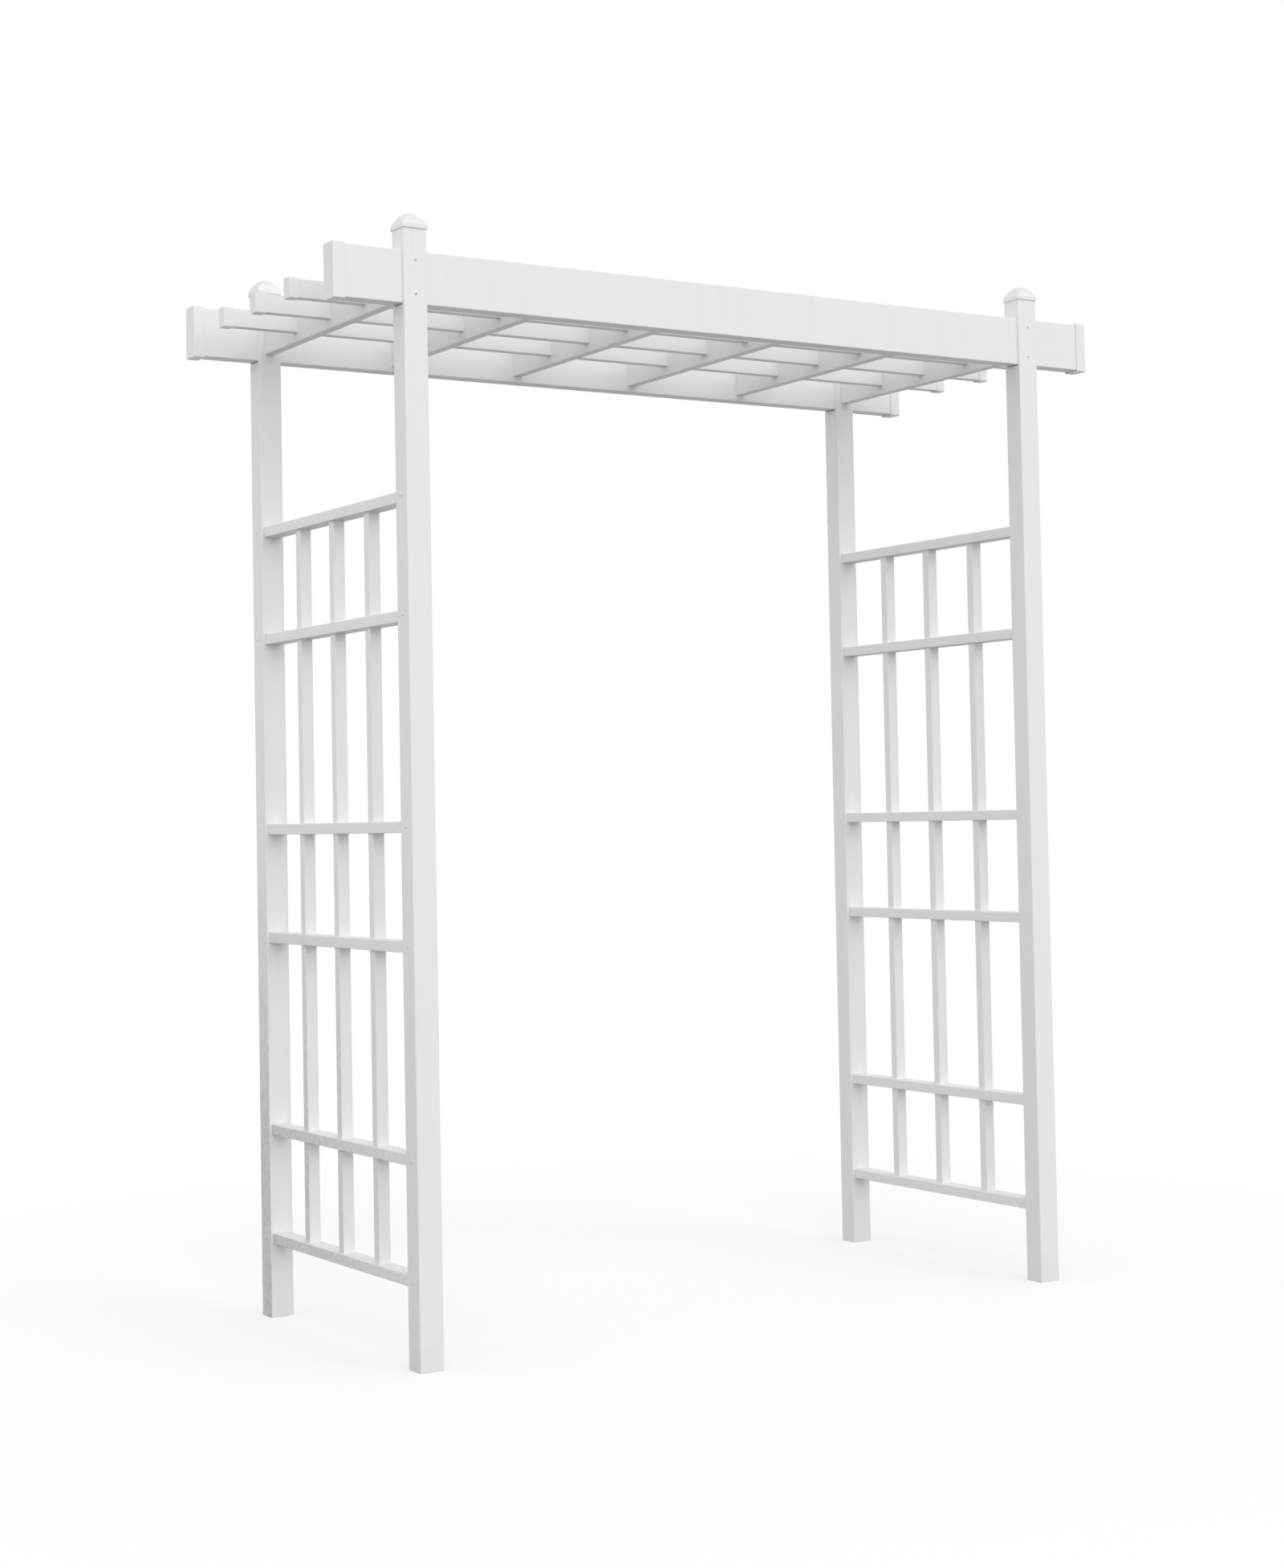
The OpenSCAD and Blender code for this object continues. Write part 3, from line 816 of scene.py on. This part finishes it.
def end_cap(node, side, wall):
    width, height, length = size_along(node, "X")
    floor = length - end_plate
    line = [(wall, floor), (wall, end_lip)]
    line += quarter_turn(wall - end_lip, end_lip, end_lip, 0)[1:]
    line += quarter_turn(end_lip, end_lip, end_lip, 270)
    line += quarter_turn(end_edge, length - end_edge, end_edge, 180, steps=5)
    apex = min(width, height) / 2
    outline = [(apex, 0, floor)] + [ring(inset, end_corner, z) for inset, z in line] + [(apex, 0, length)]
    cap = lofted("finished_" + node, outline, width, height, corner_steps=6)
    low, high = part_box(node)
    mouth_x, facing = (low.x, 1) if side == "right" else (high.x, -1)
    use_tree(cap, LAY, Turn=(right_angle, 0, facing * right_angle), Skin=moulded_vinyl, Cut=moulded_vinyl,
             Place=(mouth_x, centre(node).y, centre(node).z))
    finish_piece(cap, node)


for side in ("left", "right"):
    for face in ("front", "rear"):
        end_cap(f"beam_cap_{face}_{side}", side, beam_cap_wall)
    for number in range(1, slat_count + 1):
        end_cap(f"slat_cap_{number}_{side}", side, slat_cap_wall)
print(len(finished), "pieces with the end caps")

# %% [markdown]
# Post caps
#
# The cap is a square skirt under a four-sided dome with a round crown. Each side of the dome is a
# wide arc that leans in from the foot and runs smoothly into the crown's smaller arc. Its four
# hips are soft: the rings' corners grow rounder on the way up, until the last ones are circles.

# %% The profile of a dome's side
skirt, band, step_in = 7 * mm, 1.5 * mm, 1 * mm
crown = 10 * mm
lean = math.radians(8)


def dome_line(half_width, rise, crown_radius, points=12):
    """Half widths and heights up a dome's side, from its foot to just under its top."""
    crown_height = rise - crown_radius
    side_arc = (half_width ** 2 + crown_height ** 2 - crown_radius ** 2) / (
        2 * (half_width * math.cos(lean) - crown_height * math.sin(lean) - crown_radius))
    shift_x = side_arc * math.cos(lean) - half_width
    shift_y = side_arc * math.sin(lean)
    joint = math.atan2(crown_height + shift_y, shift_x)
    line = []
    for k in range(points + 1):
        turn = lean + (joint - lean) * k / points
        line.append((side_arc * math.cos(turn) - shift_x, side_arc * math.sin(turn) - shift_y))
    for k in range(1, points):
        turn = joint + (right_angle - joint) * k / points
        line.append((crown_radius * math.cos(turn), crown_height + crown_radius * math.sin(turn)))
    return line


# %% Rings up a dome, whose corners grow from the foot's radius to a full circle at the crown
round_in_crown, hip_softness = 0.45, 1.5


def dome_rings(outer, half_width, rise, crown_radius, foot, foot_corner):
    rings = []
    for reach, z in dome_line(half_width, rise, crown_radius):
        share = min(z / (rise - round_in_crown * crown_radius), 1)
        corner = foot_corner * (1 - share) + reach * share ** hip_softness
        rings.append((outer - reach, min(corner, reach), foot + z))
    return rings + [(outer, 0, foot + rise)]


# %% Post caps
cap_wall, cap_corner, inner_corner = 2.2 * mm, 3.5 * mm, 2 * mm
cap_lip, band_edge = 0.6 * mm, 0.5 * mm


def post_cap(node, post_node):
    width, depth, tall = size_along(node, "Z")
    outer = width / 2
    rise = tall - skirt - band
    bore = size_along(post_node, "Z")[0] / 2 - post_wall
    inner = dome_rings(outer, bore, rise + band - cap_wall, crown - cap_wall, skirt, inner_corner)[::-1]
    line = [(cap_wall, skirt), (cap_wall, cap_lip)]
    line += quarter_turn(cap_wall - cap_lip, cap_lip, cap_lip, 0)[1:]
    line += quarter_turn(cap_lip, cap_lip, cap_lip, 270)
    line += quarter_turn(band_edge, skirt + band - band_edge, band_edge, 180)
    cup = [ring(inset, cap_corner, z) for inset, z in line]
    outside = dome_rings(outer, outer - step_in, rise, crown, skirt + band, cap_corner - step_in)
    cap = lofted("finished_" + node, inner + cup + outside, width, depth, corner_steps=8)
    use_tree(cap, LAY, Place=(centre(node).x, centre(node).y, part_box(node)[0].z), Skin=moulded_vinyl,
             Cut=moulded_vinyl)
    return finish_piece(cap, node)


for side in ("left", "right"):
    for face in ("front", "rear"):
        cap = post_cap(f"post_cap_{side}_{face}", f"post_{side}_{face}")
print("post cap:", len(cap.data.polygons), "faces,", round(volume(cap)[0] * 1000, 1), "ml")

# %% [markdown]
# Screws
#
# Thirty-two small round-head screws hold the rails and beams in the posts. They are one lathe
# shape with a cross recess, set out in rows. A person drove them, so each head has stopped at
# its own angle, which comes from a random number with a fixed seed.

# %% One screw's outline, its head's seat at the origin and its head along Z
shank, shank_length, point_length = 2 * mm, 19 * mm, 3 * mm
head_height, head_rim, seat_edge = 1.8 * mm, 0.5 * mm, 0.2 * mm
head_points = 6
head = head_width / 2
dome = head_height - head_rim
ball = (head ** 2 + dome ** 2) / (2 * dome)
profile = [(0, -shank_length), (shank, point_length - shank_length), (shank, 0)]
profile += [(head - seat_edge, 0), (head, seat_edge)]
edge_turn = math.asin((ball - dome) / ball)
for k in range(head_points):
    turn = edge_turn + (right_angle - edge_turn) * k / head_points
    profile.append((ball * math.cos(turn), head_height - ball + ball * math.sin(turn)))
profile.append((0, head_height))
screw_outline = [(head - reach, reach, z) for reach, z in profile]
print("screw outline has", len(screw_outline), "rings; its head is", round(2 * head / mm, 2), "mm wide")

# %% The cross recess, cut with one blade that is turned by a quarter, and the rows of screws
recess_width, recess_depth, recess_taper = 0.8 * mm, 0.9 * mm, 0.15 * mm
blade_over, blade_reach = 0.4 * mm, 1.2 * head
blade = [(recess_width / 2, 0, -recess_depth), (recess_taper, 0, -recess_depth), (0, 0, blade_over),
         (recess_width / 2, 0, blade_over)]
recess_bit = lofted("recess bit", blade, blade_reach, recess_width, corner_steps=1)
use_tree(recess_bit, LAY, Skin=screw_recess, Cut=screw_recess)
made_plain(recess_bit)


def screws(node, turn, first, step_a, count_a, step_b, count_b, step_c=(0, 0, 0), count_c=1):
    piece = lofted("finished_" + node, screw_outline, 2 * head, 2 * head, corner_steps=5)
    use_tree(piece, LAY, Skin=screw_enamel, Cut=screw_enamel)
    for quarter_turned in (0, right_angle):
        use_tree(piece, ROUT, Bit=recess_bit, Turn=(0, 0, quarter_turned), First=(0, 0, head_height),
                 Count_A=1, Count_B=1, Count_C=1)
    made_plain(piece)
    use_tree(piece, SET_ROWS, Paint=screw_enamel, Spared=screw_recess, Turn=turn, First=first, Step_A=step_a,
             Count_A=count_a, Step_B=step_b, Count_B=count_b, Step_C=step_c, Count_C=count_c, Spin=math.tau,
             Seed=len(finished))
    finish_piece(piece, node)


# %% Screws of the rails, through the outer side walls, and of the beams, through the outer faces
for side, outward in (("left", -1), ("right", 1)):
    post = centre(f"post_{side}_front")
    face_x = post.x + outward * post_width / 2
    screws(f"rail_screws_{side}", (0, outward * right_angle, 0), (face_x, post.y, centre(f"rail_{side}_1").z),
           rail_gap, rails_in_pair, pair_step, pair_count, depth_step, 2)
for face, outward in (("front", -1), ("rear", 1)):
    post = centre(f"post_left_{face}")
    face_y = post.y + outward * post_width / 2
    screws(f"beam_screws_{face}", (-outward * right_angle, 0, 0), (post.x, face_y, beam_screw_low),
           beam_screw_step, 2, post_step, 2)

# %% Put the bits away, and count what each finish covers
for tool in [*bits.values(), recess_bit]:
    bpy.data.objects.remove(tool)
triangles = sum(len(face.vertices) - 2 for piece in finished for face in piece.data.polygons)
worn = {material.name: 0 for material in bpy.data.materials}
for piece in finished:
    for face in piece.data.polygons:
        worn[piece.data.materials[face.material_index].name] += 1
print(len(finished), "pieces,", triangles, "triangles; faces in each finish:", worn)

# %% [markdown]
# Camera
#
# The photograph was taken from the left front, about a metre above the ground. The place and turn
# below come from fitting a pinhole camera to the arch's own corners, which is surer than moving a
# camera by eye until it looks right. The lens looks nearly level, and a little of the frame's
# offset is a shift, as when a photo is cropped.

# %% Camera
image_width, image_height = 1600, 1954
focal_pixels = 3242.35
optical_centre = (900, 900)
camera_place = Vector((-3.01015, -4.91438, 1.04956))
camera_turns = [math.radians(a) for a in (-32.91, 2.11, -1.14)]


def camera_matrix(place, yaw, pitch, roll):
    """Camera axes from yaw (about Z, 0 looks along +Y), pitch (up is positive) and roll."""
    ahead = Vector((-math.sin(yaw) * math.cos(pitch), math.cos(yaw) * math.cos(pitch), math.sin(pitch)))
    right = Vector((math.cos(yaw), math.sin(yaw), 0))
    up = right.cross(ahead)
    right, up = right * math.cos(roll) + up * math.sin(roll), up * math.cos(roll) - right * math.sin(roll)
    matrix = Matrix((right, up, -ahead)).transposed().to_4x4()
    matrix.translation = place
    return matrix


sensor_width = 36
camera_data = bpy.data.cameras.new("camera")
camera_data.sensor_width = sensor_width
camera_data.lens = focal_pixels * sensor_width / image_height
camera_data.shift_x = (image_width / 2 - optical_centre[0]) / image_height
camera_data.shift_y = (optical_centre[1] - image_height / 2) / image_height
camera = bpy.data.objects.new("camera", camera_data)
camera.matrix_world = camera_matrix(camera_place, *camera_turns)
bpy.context.collection.objects.link(camera)
bpy.context.scene.camera = camera
shift = camera_data.shift_x, camera_data.shift_y
print("lens", round(camera_data.lens, 2), "mm, shift", [round(s, 4) for s in shift])

# %% [markdown]
# Stage and light
#
# The photograph shows the arch cut out on white, in the even light of a bright sky with a little
# more of it from the front. So the world is plain white where the camera or a reflection sees it.
# As a light it is dimmer overhead than near the horizon, because the photograph's upright faces
# are nearly as light as its domes, and a little brighter on the left, and one very soft sun stands
# in front. The strengths were worked out from the tones of the photograph's faces, one light at a
# time. The floor is matt near the arch, where it keeps the soft shadow of the feet, and fades to
# plain white further out. What it throws back at the arch is greyer than what the camera sees of
# it, as a lawn would be.

# %% A white sky, and one soft sun in front
horizon_light, left_light, overhead_light = 1.07, 0.08, 0.76
horizon_to, overhead_from = 0.25, 0.75
sun_light, sun_softness = 0.95, math.radians(70)
sun_from = Vector((0.0, -0.82, 0.57))
white = (1, 1, 1, 1)
bpy.context.scene.view_settings.view_transform = "Standard"


def is_seen(tree):
    """1 for the rays that show a surface to the camera, straight or in a reflection, and 0 for its light."""
    path = tree.node("ShaderNodeLightPath")
    seen = path.out("Is Camera Ray") + path.out("Is Glossy Ray") + path.out("Is Transmission Ray")
    return tree.math("MINIMUM", seen, 1.0)


world = bpy.data.worlds.new("white studio")
world.use_nodes = True
world.node_tree.nodes.clear()
tree = Tree(world.node_tree)
direction = tree.split(tree.node("ShaderNodeTexCoord").out("Generated"))
to_right, upward = direction[0], direction[2]
around_light = horizon_light - left_light * to_right
sky_light = ramp(tree, upward, horizon_to, overhead_from, around_light, overhead_light)
lit_sky = tree.node("ShaderNodeBackground", inputs={"Color": white, "Strength": sky_light})
white_sky = tree.node("ShaderNodeBackground", inputs={"Color": white, "Strength": 1.0})
sky = tree.node("ShaderNodeMixShader", inputs={0: is_seen(tree), 1: lit_sky, 2: white_sky})
tree.node("ShaderNodeOutputWorld", inputs={"Surface": sky})
bpy.context.scene.world = world
lamp = bpy.data.lights.new("soft sun", "SUN")
lamp.energy = sun_light
lamp.angle = sun_softness
sun = bpy.data.objects.new("soft sun", lamp)
sun.rotation_euler = (-sun_from).to_track_quat("-Z", "Y").to_euler()
bpy.context.collection.objects.link(sun)
print("sky", horizon_light, "to", overhead_light, "overhead; sun", sun_light)

# %% A floor that is white far off and keeps the shadow near the arch
floor_size, fade_from, fade_to = 60, 1.2, 3.2
floor_seen, floor_bounce = (0.96, 0.96, 0.96, 1), (0.34, 0.34, 0.34, 1)
shadow_shown = 0.5
floor_mesh = bpy.data.meshes.new("floor")
half = floor_size / 2
corners = [(-half, -half, 0), (half, -half, 0), (half, half, 0), (-half, half, 0)]
floor_mesh.from_pydata(corners, [], [(0, 1, 2, 3)])
floor = bpy.data.objects.new("floor", floor_mesh)
bpy.context.collection.objects.link(floor)
floor_paint, tree, where = new_finish("studio floor")
matt = tree.node("ShaderNodeBsdfDiffuse", inputs={"Color": floor_seen})
bounce = tree.node("ShaderNodeBsdfDiffuse", inputs={"Color": floor_bounce})
glow = tree.node("ShaderNodeEmission", inputs={"Color": white, "Strength": 1.0})
distance = tree.node("ShaderNodeVectorMath", {"operation": "LENGTH"}, {0: where}, 1)
away = ramp(tree, distance, fade_from, fade_to)
plain = away * shadow_shown + (1 - shadow_shown)
shown = tree.node("ShaderNodeMixShader", inputs={0: plain, 1: matt, 2: glow})
ground = tree.node("ShaderNodeMixShader", inputs={0: is_seen(tree), 1: bounce, 2: shown})
tree.node("ShaderNodeOutputMaterial", inputs={"Surface": ground})
floor_mesh.materials.append(floor_paint)
floor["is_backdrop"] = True

# %% Compare the dressed model's box with the frame's
look_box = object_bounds()
differences = [abs(a - b) / mm for c, v in zip(cad_box, look_box) for a, b in zip(c, v)]
print("visual box differs by", [round(d, 2) for d in differences], "mm")
